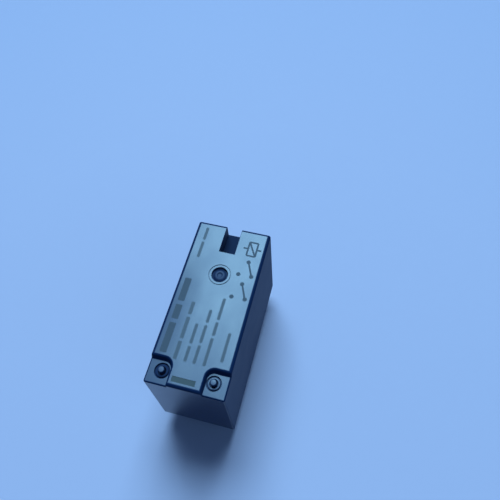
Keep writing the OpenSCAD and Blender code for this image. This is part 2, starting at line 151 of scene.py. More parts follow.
# Circuit sketch: the coil's box and leads, then each contact's pivot, its arm's reach and its two ends
SKETCH_COIL = {"x": (-12.1, -9.5), "y": (3.3, 4.8), "lead_x": -10.8, "lead_y": (2.5, 5.6)}
SKETCH_POLES = {"x": (-8.3, -4.2), "y": 4.05, "reach": 2.5, "ends": (5.15, 2.95)}
SKETCH_LINE = 0.3
SKETCH_DOT, DOT_SIDES = 0.36, 20
# Roughness of the cover's sides, and by how much its other places are smoother or duller
COVER_ROUGH = 0.54
TOP_SHEEN, TOP_WEAR = 0.32, 0.16
PATCH_SHEEN, END_SHEEN = 0.06, 0.38
NOTCH_DULL, COLLAR_DULL = 0.4, 0.45
HANDLED_DULL, HANDLED_END = 0.2, 0.12
CORNER_DULL = 0.3
PATCH_COLOUR = (0.006, 0.014, 0.014)
# Depth and strength of the mould's grain
GRAIN_BUMP = (0.012 * MM, 0.22)
# Finish of rolled spring leaf, with its streaks along the height
LEAF_GRAIN = {"rough": 0.28, "stretch": (900.0, 900.0, 150.0)}
# Floor, lens and sensor in millimetres, softboxes and places in metres, turns in degrees
FLOOR_RADIUS, FLOOR_SIDES, FLOOR_GAP = 2000.0, 96, 0.02
KEY_BOX = {"from_top": (-0.47, -0.1, 0.868), "size": (0.56, 0.56), "colour": (0.365, 0.71, 1.0)}
SIDE_BOX = {"place": (0.25, 0.5, 0.45), "size": (0.4, 0.4), "colour": (0.25, 0.62, 1.0), "share": 0.03}
CAMERA = {
    "place": (0.03109, 0.01842, 0.09957),
    "turn": (31.54, 1.809, 104.451),
    "lens": 38.863,
    "sensor": 36.0,
    "shift": (-0.0162, -0.0487),
    "clip": 0.005,
}


class RelayShape(bpy.types.PropertyGroup):
    """Sizes of the soft edges, the draft, the resin's rim and the print."""

    top_edge: FloatProperty(
        name="Top edge", description="Rounding round the cover's top", default=0.55 * MM, unit="LENGTH"
    )
    upright_edge: FloatProperty(
        name="Upright edge", description="Rounding of the cover's corners", default=0.3 * MM, unit="LENGTH"
    )
    recess_edge: FloatProperty(
        name="Recess edge", description="Rounding of the corner recesses", default=0.24 * MM, unit="LENGTH"
    )
    small_edge: FloatProperty(
        name="Small edge", description="Rounding of grooves, dish and rim", default=0.07 * MM, unit="LENGTH"
    )
    collar_edge: FloatProperty(
        name="Collar edge",
        description="Rounding of the collar round a stud",
        default=0.08 * MM,
        unit="LENGTH",
    )
    metal_edge: FloatProperty(
        name="Metal edge", description="Rounding of stamped terminals", default=0.04 * MM, unit="LENGTH"
    )
    draft: FloatProperty(
        name="Draft",
        description="How far each side of the cover leans out at the board",
        default=0.17 * MM,
        unit="LENGTH",
    )
    meniscus: FloatProperty(
        name="Meniscus", description="How far the resin climbs its walls", default=0.3 * MM, unit="LENGTH"
    )
    ink_height: FloatProperty(
        name="Ink height", description="Thickness of the print", default=0.008 * MM, unit="LENGTH"
    )


class RelayFinish(bpy.types.PropertyGroup):
    """Colours of the relay's materials."""

    cover: FloatVectorProperty(
        name="Cover", description="Moulded cover", default=(0.002, 0.012, 0.044), subtype="COLOR"
    )
    base: FloatVectorProperty(
        name="Base", description="Moulded base", default=(0.007, 0.015, 0.034), subtype="COLOR"
    )
    resin: FloatVectorProperty(
        name="Resin", description="Poured epoxy", default=(0.012, 0.021, 0.038), subtype="COLOR"
    )
    ink: FloatVectorProperty(
        name="Ink", description="Marks on the cover", default=(0.018, 0.025, 0.038), subtype="COLOR"
    )
    tin: FloatVectorProperty(
        name="Tin", description="Plated terminals", default=(0.62, 0.61, 0.59), subtype="COLOR"
    )
    iron: FloatVectorProperty(
        name="Iron", description="Plated iron", default=(0.5, 0.5, 0.52), subtype="COLOR"
    )
    copper: FloatVectorProperty(
        name="Copper", description="Enamelled wire", default=(0.55, 0.17, 0.05), subtype="COLOR"
    )
    bronze: FloatVectorProperty(
        name="Bronze", description="Spring leaf", default=(0.7, 0.4, 0.17), subtype="COLOR"
    )
    silver: FloatVectorProperty(
        name="Silver", description="Contact alloy", default=(0.82, 0.8, 0.77), subtype="COLOR"
    )
    ivory: FloatVectorProperty(
        name="Ivory", description="Bobbin and push rod", default=(0.66, 0.62, 0.5), subtype="COLOR"
    )


class RelayStage(bpy.types.PropertyGroup):
    """Floor and light."""

    floor: FloatVectorProperty(
        name="Floor", description="Pale paper", default=(0.41, 0.37, 0.48), subtype="COLOR"
    )
    sky: FloatVectorProperty(
        name="Sky", description="Colour of the even light", default=(0.2, 0.42, 0.85), subtype="COLOR"
    )
    key_power: FloatProperty(
        name="Key light", description="Softbox beyond the object", default=19.2, unit="POWER"
    )
    fill: FloatProperty(name="Fill", description="Strength of the even light all round", default=0.19)


class Value:
    """A shader socket that takes part in Python sums."""

    def __init__(self, tree, socket):
        self.tree = tree
        self.socket = socket

    def __add__(self, other):
        return self.tree.maths("ADD", self, other)

    __radd__ = __add__

    def __sub__(self, other):
        return self.tree.maths("SUBTRACT", self, other)

    def __rsub__(self, other):
        return self.tree.maths("SUBTRACT", other, self)

    def __mul__(self, other):
        return self.tree.maths("MULTIPLY", self, other)

    __rmul__ = __mul__

    def __truediv__(self, other):
        return self.tree.maths("DIVIDE", self, other)

    def clamped(self, low=0.0, high=1.0):
        return self.tree.maths("MAXIMUM", self.tree.maths("MINIMUM", self, high), low)


class NodeSums:
    """A node tree that is written as expressions."""

    def __init__(self, tree):
        self.tree = tree

    def found(self, kind):
        return next(n for n in self.tree.nodes if n.type == kind)

    def put(self, socket, value):
        if isinstance(value, Value):
            self.tree.links.new(value.socket, socket)
        else:
            socket.default_value = value

    def node(self, kind, settings=None, sockets=None, out=0):
        """A node of that kind: its settings first, then its sockets."""
        made = self.tree.nodes.new(kind)
        for key, value in (settings or {}).items():
            setattr(made, key, value)
        for key, value in (sockets or {}).items():
            self.put(made.inputs[key], value)
        return Value(self, made.outputs[out])

    def maths(self, operation, a, b):
        return self.node("ShaderNodeMath", {"operation": operation}, {0: a, 1: b})


class Finish(NodeSums):
    """A material with a Principled shader."""

    def __init__(self, name):
        self.material = bpy.data.materials.new(name)
        self.material.use_nodes = True
        super().__init__(self.material.node_tree)
        self.shader = self.found("BSDF_PRINCIPLED")
        self.place = self.node("ShaderNodeTexCoord", out="Object")

    def noise(self, scale, detail, rough, vector=None):
        where = vector or self.place
        sockets = {"Vector": where, "Scale": scale, "Detail": detail, "Roughness": rough}
        return self.node("ShaderNodeTexNoise", sockets=sockets, out="Fac")

    def stretched(self, scale):
        """The object's coordinates, scaled by a different amount along each axis."""
        return self.node("ShaderNodeVectorMath", {"operation": "MULTIPLY"}, {0: self.place, 1: scale})

    def mirrored(self):
        """The object's coordinates without their signs."""
        return self.node("ShaderNodeVectorMath", {"operation": "ABSOLUTE"}, {0: self.place})

    def distance(self, a, b):
        return self.node("ShaderNodeVectorMath", {"operation": "DISTANCE"}, {0: a, 1: b}, out="Value")

    def blend(self, factor, a, b):
        """A colour between a and b."""
        first, second = (c if isinstance(c, Value) else (*c, 1.0) for c in (a, b))
        sockets = {"Factor": factor, 6: first, 7: second}
        return self.node("ShaderNodeMix", {"data_type": "RGBA"}, sockets, out=2)

    def above(self, value, level, over):
        """From 0 below that level to 1 past it, both in millimetres."""
        return ((value - level * MM) / (over * MM)).clamped()

    def part(self, vector, axis):
        return self.node("ShaderNodeSeparateXYZ", sockets={"Vector": vector}, out=axis)

    def bump(self, height, depth, strength):
        sockets = {"Height": height, "Distance": depth, "Strength": strength}
        return self.node("ShaderNodeBump", sockets=sockets, out="Normal")

    def shade(self, **sockets):
        for name, value in sockets.items():
            self.put(self.shader.inputs[name.replace("_", " ").title()], value)
        return self.material

    def overlay(self, factor, other):
        """Lets another shader take over where the factor is 1."""
        sockets = {0: factor, 1: Value(self, self.shader.outputs[0]), 2: other}
        mixed = self.node("ShaderNodeMixShader", sockets=sockets)
        self.put(self.found("OUTPUT_MATERIAL").inputs["Surface"], mixed)
        return self.material


def tinted(colour, amount):
    return tuple(min(1.0, part * amount) for part in colour)


def moulded_plastic(name, colour, rough, grain):
    """Spark-eroded mould texture: fine grain, with faint handling marks in the sheen."""
    f = Finish(name)
    fine = f.noise(grain, 3.0, 0.6)
    pits = f.noise(grain * 0.35, 2.0, 0.5)
    marks = f.noise(260.0, 4.0, 0.55)
    return f.shade(
        base_color=f.blend(marks, tinted(colour, 0.8), tinted(colour, 1.25)),
        roughness=(rough - 0.03 + marks * 0.06 + fine * 0.05).clamped(0.05, 1.0),
        normal=f.bump(fine * 0.7 + pits * 0.3, *GRAIN_BUMP),
    )


def cover_plastic(name, colour):
    """Black plastic: satin and cloudy on the top, duller in the recesses, matt on the sides and edges; the
    notch floor is painted darker as shade.
    """
    f = Finish(name)
    fine = f.noise(9000.0, 3.0, 0.6)
    pits = f.noise(3200.0, 2.0, 0.5)
    marks = f.noise(260.0, 4.0, 0.55)
    clouds = f.noise(130.0, 2.0, 0.5)
    flow = f.noise(1.0, 2.0, 0.5, f.stretched((90.0, 420.0, 90.0)))
    handled = marks * 0.4 + flow * 0.3 + clouds * 0.3
    x, y, z = (f.part(f.place, axis) for axis in "XYZ")
    facing = f.node("ShaderNodeNewGeometry", out="Normal")
    endward, upward = f.part(facing, "X"), f.part(facing, "Z")
    dish = Vector((DISH["x"], 0, TOP_Z)) * MM
    stud = Vector((STUD["x"], STUD["y"], RECESS_Z)) * MM
    level = (upward * 50.0 - 49.0).clamped()
    on_top = f.above(z, TOP_Z - 0.014, 0.012)
    worn = f.above(x, -9.0, 8.0) * (1.0 - f.above(y, -5.5, 4.0))
    off_dish = f.above(f.distance(f.place, dish), 1.5, 0.2)
    from_studs = f.distance(f.mirrored(), stud)
    off_stud = f.above(from_studs, 1.2, 0.06)
    sunk = (f.above(z, RECESS_Z - 0.05, 0.03) - f.above(z, TOP_Z - 0.1, 0.02)) * level * off_dish
    in_notch = (1.0 - f.above(z, TOP_Z - 1.8, 0.1)) * level
    on_patch = (f.above(z, TOP_Z - 0.1, 0.02) - f.above(z, TOP_Z - 0.04, 0.02)) * level
    on_end = endward * endward
    left_side = f.above(x, 0.0, 1.0) * (1.0 - f.above(y, -1.0, 1.0))
    left_recess = left_side * (1.0 - f.above(z, RECESS_Z + 0.05, 0.05))
    shaded_collar = (1.0 - off_stud) * left_recess
    polish = y / (2 * HALF_W * MM) * 0.14 + 0.23
    rough = COVER_ROUGH - on_top * (TOP_SHEEN - worn * TOP_WEAR) - sunk * polish
    rough = rough - on_patch * PATCH_SHEEN - on_end * END_SHEEN
    rough = rough + in_notch * NOTCH_DULL + shaded_collar * COLLAR_DULL
    rough = rough + handled * (HANDLED_DULL - on_end * HANDLED_END) + fine * 0.05
    normal = f.bump(fine * 0.7 + pits * 0.3, *GRAIN_BUMP)
    # Painted shade: the notch floor is pulled to the darker tone of the colour, on top of the random
    # handling marks elsewhere
    plain = f.blend((handled - in_notch).clamped(), tinted(colour, 0.75), tinted(colour, 1.3))
    f.shade(
        base_color=f.blend(on_patch, plain, PATCH_COLOUR),
        roughness=rough.clamped(0.05, 1.0),
        normal=normal,
    )
    slope = upward * upward
    bent = (slope * (1.0 - slope) * 16.0 - 0.2).clamped()
    corner = (on_end * (1.0 - on_end - slope) * 8.0).clamped() * CORNER_DULL
    dull = {"Base Color": (*colour, 1.0), "Roughness": 0.75, "Specular IOR Level": 0.1, "Normal": normal}
    on_edges = (bent * off_dish * off_stud + corner).clamped()
    return f.overlay(on_edges, f.node("ShaderNodeBsdfPrincipled", sockets=dull))


def poured_resin(name, colour):
    """Cured epoxy: glossy, with slow waves, pinholes and small bubbles."""
    f = Finish(name)
    waves = f.noise(420.0, 2.0, 0.5)
    spots = {"Vector": f.place, "Scale": 1500.0}
    cells = f.node("ShaderNodeTexVoronoi", {"feature": "F1"}, spots, out="Distance")
    bubbles = (1.0 - cells * 5.0).clamped()
    dusty = f.noise(2600.0, 3.0, 0.6)
    normal = f.bump(waves - bubbles * 0.5, 0.05 * MM, 0.5)
    return f.shade(
        base_color=f.blend((waves * 1.2).clamped(), tinted(colour, 0.7), tinted(colour, 1.5)),
        roughness=(0.08 + dusty * 0.16).clamped(),
        normal=normal,
    )


def printed_ink(name, colour, rough):
    """Matt pad print, a little thin in places."""
    f = Finish(name)
    speckle = f.noise(5200.0, 3.0, 0.65)
    wide = f.noise(700.0, 2.0, 0.5)
    coverage = (speckle * 0.7 + wide * 0.3).clamped()
    return f.shade(
        base_color=f.blend(coverage, tinted(colour, 0.8), tinted(colour, 1.15)),
        roughness=(rough - 0.1 + speckle * 0.2).clamped(),
        normal=f.bump(speckle, 0.006 * MM, 0.5),
    )


def worked_metal(name, colour, rough, stretch, tarnish=0.25):
    """Rolled or stamped metal with fine streaks and a little tarnish."""
    f = Finish(name)
    streaks = f.noise(1.0, 3.0, 0.6, f.stretched(stretch))
    stains = f.noise(500.0, 3.0, 0.55)
    shade = (streaks * 0.5 + stains * 0.5).clamped()
    return f.shade(
        base_color=f.blend(shade, tinted(colour, 1.0 - tarnish), tinted(colour, 1.08)),
        roughness=(rough + streaks * 0.14 + stains * 0.08 - 0.1).clamped(0.05, 1.0),
        normal=f.bump(streaks, 0.004 * MM, 0.4),
        metallic=1.0,
    )


def wound_wire(name, colour):
    """Enamelled wire: painted shade between the turns, with a varying amber film."""
    f = Finish(name)
    sway = f.noise(900.0, 2.0, 0.5)
    # Painted shade: the colour darkens once per wire pitch, standing in for the shade between the turns
    turns = f.maths("PINGPONG", f.part(f.place, "Z") / (WIRE_PITCH * MM) + sway * 0.25, 0.5)
    enamel = f.noise(600.0, 3.0, 0.5)
    turn_shade_and_film = (turns * 1.1 + enamel * 0.5).clamped()
    return f.shade(
        base_color=f.blend(turn_shade_and_film, tinted(colour, 0.5), tinted(colour, 1.1)),
        roughness=(0.2 + enamel * 0.2).clamped(),
        normal=f.bump(enamel, 0.01 * MM, 0.3),
        metallic=0.85,
    )


def circle(cx, cy, r, count):
    steps = (2 * math.pi * i / count for i in range(count))
    return [(cx + r * math.cos(a), cy + r * math.sin(a)) for a in steps]


def rectangle(x0, x1, y0, y1):
    return [(x0, y0), (x1, y0), (x1, y1), (x0, y1)]


def rounded_rectangle(half_x, half_y, r, count):
    points = []
    for quarter, (sx, sy) in enumerate(((1, 1), (-1, 1), (-1, -1), (1, -1))):
        for i in range(count + 1):
            a = math.pi / 2 * (quarter + i / count)
            points.append((sx * (half_x - r) + r * math.cos(a), sy * (half_y - r) + r * math.sin(a)))
    return points


def prism(bm, low, z0, z1, high=None):
    """A closed solid between an outline at z0 and one with as many points at z1, in millimetres."""
    bottom = [bm.verts.new((x * MM, y * MM, z0 * MM)) for x, y in low]
    top = [bm.verts.new((x * MM, y * MM, z1 * MM)) for x, y in high or low]
    bm.faces.new(bottom[::-1])
    bm.faces.new(top)
    for i, corner in enumerate(bottom):
        j = (i + 1) % len(bottom)
        bm.faces.new((corner, bottom[j], top[j], top[i]))
    bmesh.ops.recalc_face_normals(bm, faces=bm.faces)


def loose(bm):
    """A new object from a bmesh, which is freed."""
    mesh = bpy.data.meshes.new("solid")
    bm.to_mesh(mesh)
    bm.free()
    made = bpy.data.objects.new("solid", mesh)
    bpy.context.scene.collection.objects.link(made)
    return made


def solid(*prisms):
    """An object made of prisms, to be carved or to carve with."""
    bm = bmesh.new()
    for args in prisms:
        prism(bm, *args)
    return loose(bm)


def apply_steps(target):
    """Makes the target's modifiers part of its mesh."""
    seen = bpy.context.evaluated_depsgraph_get()
    mesh = bpy.data.meshes.new_from_object(target.evaluated_get(seen))
    target.modifiers.clear()
    old, target.data = target.data, mesh
    bpy.data.meshes.remove(old)


def carve(target, *tools, operation="DIFFERENCE"):
    """Cuts the tools out of the target, or joins them to it, and removes them."""
    for tool in tools:
        step = target.modifiers.new("carve", "BOOLEAN")
        step.operation = operation
        step.solver = "EXACT"
        step.object = tool
        apply_steps(target)
        bpy.data.objects.remove(tool, do_unlink=True)
    return target


def clean_mesh(target):
    """The target's mesh with near points merged and flat faces joined."""
    bm = bmesh.new()
    bm.from_mesh(target.data)
    bmesh.ops.remove_doubles(bm, verts=bm.verts, dist=MERGE * MM)
    bmesh.ops.dissolve_degenerate(bm, edges=bm.edges, dist=MERGE * MM)
    bmesh.ops.dissolve_limit(bm, angle_limit=math.radians(FLAT_ANGLE), verts=bm.verts, edges=bm.edges)
    return bm


def without_slivers(target):
    """Merges near points and joins flat faces, so that no sliver is left over."""
    bm = clean_mesh(target)
    bm.to_mesh(target.data)
    bm.free()
    return target


def sharp_edges(bm):
    """Each sharp edge of a mesh, with its middle in millimetres."""
    for edge in bm.edges:
        if len(edge.link_faces) == 2 and edge.calc_face_angle(0.0) > math.radians(SHARP_ANGLE):
            yield edge, (edge.verts[0].co + edge.verts[1].co) / 2 / MM


def soften(target, chosen, offset, segments):
    """Rounds the sharp edges, outward and inward, that chosen picks by their middle in millimetres."""
    bm = clean_mesh(target)
    picked = [edge for edge, middle in sharp_edges(bm) if chosen(middle)]
    bmesh.ops.bevel(
        bm,
        geom=picked,
        offset=offset,
        offset_type="OFFSET",
        segments=segments,
        profile=0.5,
        affect="EDGES",
        clamp_overlap=True,
    )
    bm.to_mesh(target.data)
    bm.free()


def soften_each(target, width, segments):
    """Rounds each sharp outward edge by the width that is given for its middle, in millimetres."""
    bm = clean_mesh(target)
    weights = bm.edges.layers.float.new("bevel_weight_edge")
    for edge, middle in sharp_edges(bm):
        if edge.is_convex:
            edge[weights] = width(middle)
    bm.to_mesh(target.data)
    bm.free()
    step = target.modifiers.new("soften", "BEVEL")
    step.limit_method = "WEIGHT"
    step.offset_type = "OFFSET"
    step.width = MM
    step.segments = segments
    apply_steps(target)


def finish_piece(made, name, material, body="housing", nodes=(), sharp=35, flat=False):
    """Names, shades and seats a piece on its body."""
    made.name = name
    made.data.name = name
    made.data.materials.clear()
    made.data.materials.append(material)
    smooth = [not (flat and max(map(abs, face.normal)) > SQUARE) for face in made.data.polygons]
    made.data.polygons.foreach_set("use_smooth", smooth)
    made.data.set_sharp_from_angle(angle=math.radians(sharp))
    even = made.modifiers.new("even shading", "WEIGHTED_NORMAL")
    even.keep_sharp = True
    if nodes:
        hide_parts(*nodes)
    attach(made, body)


def node_copy(node):
    """A new object with the same shape as a CAD node, without its normals."""
    bm = bmesh.new()
    bm.from_mesh(NODES[node].data)
    made = loose(bm)
    for extra in ("custom_normal", "sharp_edge", "sharp_face"):
        if extra in made.data.attributes:
            made.data.attributes.remove(made.data.attributes[extra])
    return made


def softened_copy(node, offset, segments=2):
    """A copy of a CAD node with all its sharp edges rounded."""
    made = node_copy(node)
    soften(made, lambda p: True, offset, segments)
    return made


def recess_outline(side, inset):
    """Outline of a corner recess: inset 0 at the cover's top, 1 at the recess floor."""
    x0, y0 = (RECESS[key] + inset * RECESS_DRAFT[key] for key in "xy")
    r = RECESS["radius"] - inset * RECESS_DRAFT["radius"]
    far_x, far_y = HALF_L + PAST, HALF_W + PAST
    corner = []
    for i in range(RECESS_STEPS + 1):
        a = math.pi * (1.5 - i / (2 * RECESS_STEPS))
        corner.append((x0 + r + r * math.cos(a), y0 + r + r * math.sin(a)))
    points = corner + [(x0, far_y), (far_x, far_y), (far_x, y0)]
    return [(x, side * y) for x, y in points]


def moat_and_groove(side):
    """What is cut out of a recess floor round a stud, which leaves a collar."""
    x, y = STUD["x"], side * STUD["y"]
    above = RECESS_Z + SHALLOW_PAST
    moat = solid((circle(x, y, MOAT["d"] / 2, MOAT["sides"]), RECESS_Z - MOAT["depth"], above))
    groove = solid((circle(x, y, GROOVE["out"] / 2, GROOVE["sides"]), RECESS_Z - GROOVE["depth"], above))
    collar = circle(x, y, GROOVE["in"] / 2, GROOVE["sides"])
    carve(groove, solid((collar, RECESS_Z - PAST, RECESS_Z + PAST)))
    return moat, groove


def stud_post(side):
    """A stud with a rounded tip, which stands in the floor of its moat."""
    r, tip, top = STUD["d"] / 2, STUD["tip"], TOP_Z - STUD["below_top"]
    root = RECESS_Z - MOAT["depth"] - STUD["root"]
    angles = [math.pi / 2 * i / TIP_STEPS for i in range(TIP_STEPS + 1)]
    rims = [(r - tip + tip * math.cos(a), top - tip + tip * math.sin(a)) for a in angles]
    post = bmesh.new()
    turned(post, STUD["x"], side * STUD["y"], [(r, root), *rims, (STUD["middle"], top)], STUD_SIDES)
    return loose(post)


def turned(bm, x, y, profile, count):
    """A closed solid of revolution about an upright axis from (radius, height) pairs in millimetres."""
    rings = []
    for r, z in profile:
        rings.append([bm.verts.new((px * MM, py * MM, z * MM)) for px, py in circle(x, y, r, count)])
    bm.faces.new(rings[0][::-1])
    bm.faces.new(rings[-1])
    for a, b in zip(rings, rings[1:]):
        for i in range(count):
            j = (i + 1) % count
            bm.faces.new((a[i], a[j], b[j], b[i]))
    bmesh.ops.recalc_face_normals(bm, faces=bm.faces)


def cavity_tools():
    """The hollow inside the cover, left solid under the recesses, ring grooves and notch."""
    in_x, in_y = HALF_L - RIM_WALL, HALF_W - RIM_WALL
    low = solid((rectangle(-in_x, in_x, -in_y, in_y), -PAST, BASE_TOP_Z))
    upper_x, upper_y = in_x - SHOULDER, in_y - SHOULDER
    high = solid((rectangle(-upper_x, upper_x, -upper_y, upper_y), FLANGE_Z, CEILING_Z))
    blocks = []
    for s in (-1, 1):
        near, far = sorted((s * (RECESS["y"] - SIDE_SKIN), s * (HALF_W + PAST)))
        corner = rectangle(RECESS["x"] - SIDE_SKIN, HALF_L + PAST, near, far)
        blocks.append(solid((corner, RECESS_Z - SKIN, TOP_Z + PAST)))
        ring = circle(STUD["x"], s * STUD["y"], GROOVE["out"] / 2 + SKIN, STUD_SIDES)
        blocks.append(solid((ring, RECESS_Z - MOAT["depth"] - SKIN, TOP_Z + PAST)))
    half = NOTCH["width"] / 2 + SKIN
    end = -HALF_L + NOTCH["length"] + SKIN
    slot = rectangle(-HALF_L - PAST, end, -half, half)
    blocks.append(solid((slot, TOP_Z - NOTCH["depth"] - SKIN, TOP_Z + PAST)))
    return low, carve(high, *blocks)


def from_stud(p):
    return math.hypot(p.x - STUD["x"], abs(p.y) - STUD["y"])


def on_collar(p):
    """True on the two upper edges of a collar."""
    inner, outer = MOAT["d"] / 2 - AT_WALL, GROOVE["in"] / 2 + AT_WALL
    return abs(p.z - RECESS_Z) < AT_FLOOR and inner < from_stud(p) < outer


def near_small_marks(p):
    """True on the rims of the ring grooves, of the dish and of the ring round it."""
    on_dish = abs(p.z - TOP_Z) < AT_LEVEL and math.hypot(p.x - DISH["x"], p.y) < DISH["reach"]
    on_groove = abs(p.z - RECESS_Z) < AT_FLOOR and abs(from_stud(p) - GROOVE["out"] / 2) < AT_GROOVE
    return on_dish or on_groove


def at_notch(p):
    """True on the edges of the notch."""
    across = abs(p.y) < NOTCH["width"] / 2 + AT_WALL
    return across and p.x < -HALF_L + NOTCH["length"] + AT_WALL and p.z > OFF_BOARD


def at_recess_foot(p):
    """True where a recess wall stands on the recess floor."""
    inside = p.x < HALF_L - OFF_SIDE and abs(p.y) < HALF_W - OFF_SIDE
    return inside and abs(p.z - RECESS_Z) < AT_LEVEL and from_stud(p) > GROOVE["out"] / 2


def outside_edge(p):
    """Rounding of an edge of the cover, all in millimetres, or 0 at the notch and the board."""
    shape = bpy.context.scene.relay_shape
    rim = max(abs(p.x) - HALF_L, abs(p.y) - HALF_W) > -AT_LEVEL
    if at_notch(p) or p.z < AT_LEVEL:
        return 0.0
    if p.z > TOP_Z - AT_LEVEL:
        return (shape.top_edge if rim else shape.recess_edge) / MM
    return (shape.recess_edge if p.z > RECESS_Z - AT_LEVEL else shape.upright_edge) / MM


def cover_shell():
    """The cover's outside, then its small marks, then the hollow inside."""
    shape = bpy.context.scene.relay_shape
    beyond = -SLANT_PAST / RECESS["depth"]
    foot_l, foot_w = HALF_L + shape.draft / MM, HALF_W + shape.draft / MM
    foot = rectangle(-foot_l, foot_l, -foot_w, foot_w)
    made = solid((foot, 0.0, TOP_Z, rectangle(-HALF_L, HALF_L, -HALF_W, HALF_W)))
    half = NOTCH["width"] / 2
    end = -HALF_L + NOTCH["length"]
    for s in (-1, 1):
        recess = (recess_outline(s, 1), RECESS_Z, TOP_Z + SLANT_PAST, recess_outline(s, beyond))
        carve(made, solid(recess))
    carve(made, solid((rectangle(-HALF_L - PAST, end, -half, half), TOP_Z - NOTCH["depth"], TOP_Z + PAST)))
    soften_each(made, outside_edge, 5)
    soften(made, at_notch, shape.small_edge, 2)
    soften(made, at_recess_foot, shape.small_edge, 2)
    mark = bmesh.new()
    turned(mark, DISH["x"], 0.0, [(r, TOP_Z + z) for r, z in DISH["profile"]], DISH_SIDES)
    dish = loose(mark)
    outer, inner = (circle(DISH["x"], 0, DISH[key] / 2, RING_SIDES) for key in ("ring_out", "ring_in"))
    ring = solid((outer, TOP_Z - DISH["ring_depth"], TOP_Z + PAST))
    carve(ring, solid((inner, TOP_Z - PAST, TOP_Z + 2 * PAST)))
    patch = solid((rectangle(*PATCH["x"], *PATCH["y"]), TOP_Z - PATCH["depth"], TOP_Z + PAST))
    carve(made, *moat_and_groove(-1), *moat_and_groove(1), dish, ring, patch)
    soften(made, on_collar, shape.collar_edge, 4)
    soften(made, near_small_marks, shape.small_edge, 3)
    carve(made, stud_post(-1), stud_post(1), operation="UNION")
    carve(made, *cavity_tools())
    soften(made, lambda p: p.z < AT_LEVEL, shape.small_edge, 3)
    return made


class RELAY_OT_cover(bpy.types.Operator):
    """Moulded cover with its recesses, studs, notch and gate dish"""

    bl_idname = "relay.cover"
    bl_label = "Cover"

    def execute(self, context):
        plastic = cover_plastic("cover_plastic", context.scene.relay_finish.cover)
        finish_piece(cover_shell(), "cover_shell", plastic, nodes=["cover"])
        return {"FINISHED"}


def stroke(start, end, width):
    """Outline of a straight line of ink between two points."""
    run = Vector(end) - Vector(start)
    side = Vector((-run.y, run.x)).normalized() * width / 2
    ends = (Vector(start) + side, Vector(start) - side, Vector(end) - side, Vector(end) + side)
    return [(p.x, p.y) for p in ends]


def bar(x0, x1, y, height):
    """Outline of a bar of ink with rounded corners."""
    cx, half, r = (x0 + x1) / 2, (x1 - x0) / 2, min(BAR_CORNER, height / 3)
    return [(cx + px, y + py) for px, py in rounded_rectangle(half, height / 2, r, 4)]


def circuit_marks():
    """A plain circuit sketch: a coil box and two change-over contacts."""
    (x0, x1), (y0, y1) = SKETCH_COIL["x"], SKETCH_COIL["y"]
    lead, (low, high) = SKETCH_COIL["lead_x"], SKETCH_COIL["lead_y"]
    lines = [((x0, y0), (x1, y0)), ((x0, y1), (x1, y1)), ((x0, y0), (x0, y1)), ((x1, y0), (x1, y1))]
    lines += [((x0, y0), (x1, y1)), ((lead, low), (lead, y0)), ((lead, y1), (lead, high))]
    dots = []
    for x in SKETCH_POLES["x"]:
        pivot = (x, SKETCH_POLES["y"])
        ends = [(x + SKETCH_POLES["reach"], y) for y in SKETCH_POLES["ends"]]
        dots += [circle(*spot, SKETCH_DOT, DOT_SIDES) for spot in (pivot, *ends)]
        lines.append((pivot, ends[0]))
    return dots + [stroke(a, b, SKETCH_LINE) for a, b in lines]


class RELAY_OT_print(bpy.types.Operator):
    """Matt printed bars and a circuit sketch on the top"""

    bl_idname = "relay.print"
    bl_label = "Print"

    def execute(self, context):
        depth = context.scene.relay_shape.ink_height / MM
        bold, fine = circuit_marks(), []
        for x0, x1, y, height, words in PRINT_ROWS:
            gap = BAR_GAP[0] * height + BAR_GAP[1]
            room = (x1 - x0 - gap * (len(words) - 1)) / sum(words)
            for word in words:
                (bold if height > BOLD_HEIGHT else fine).append(bar(x0, x0 + word * room, y, height))
                x0 += word * room + gap
        colour = context.scene.relay_finish.ink
        inks = (("cover_print_bold", bold, 0.66), ("cover_print_fine", fine, 0.57))
        for name, shapes, rough in inks:
            made, *others = [solid((points, TOP_Z - INK_ROOT, TOP_Z + depth)) for points in shapes]
            carve(made, *others, operation="UNION")
            finish_piece(without_slivers(made), name, printed_ink(name, colour, rough))
        return {"FINISHED"}


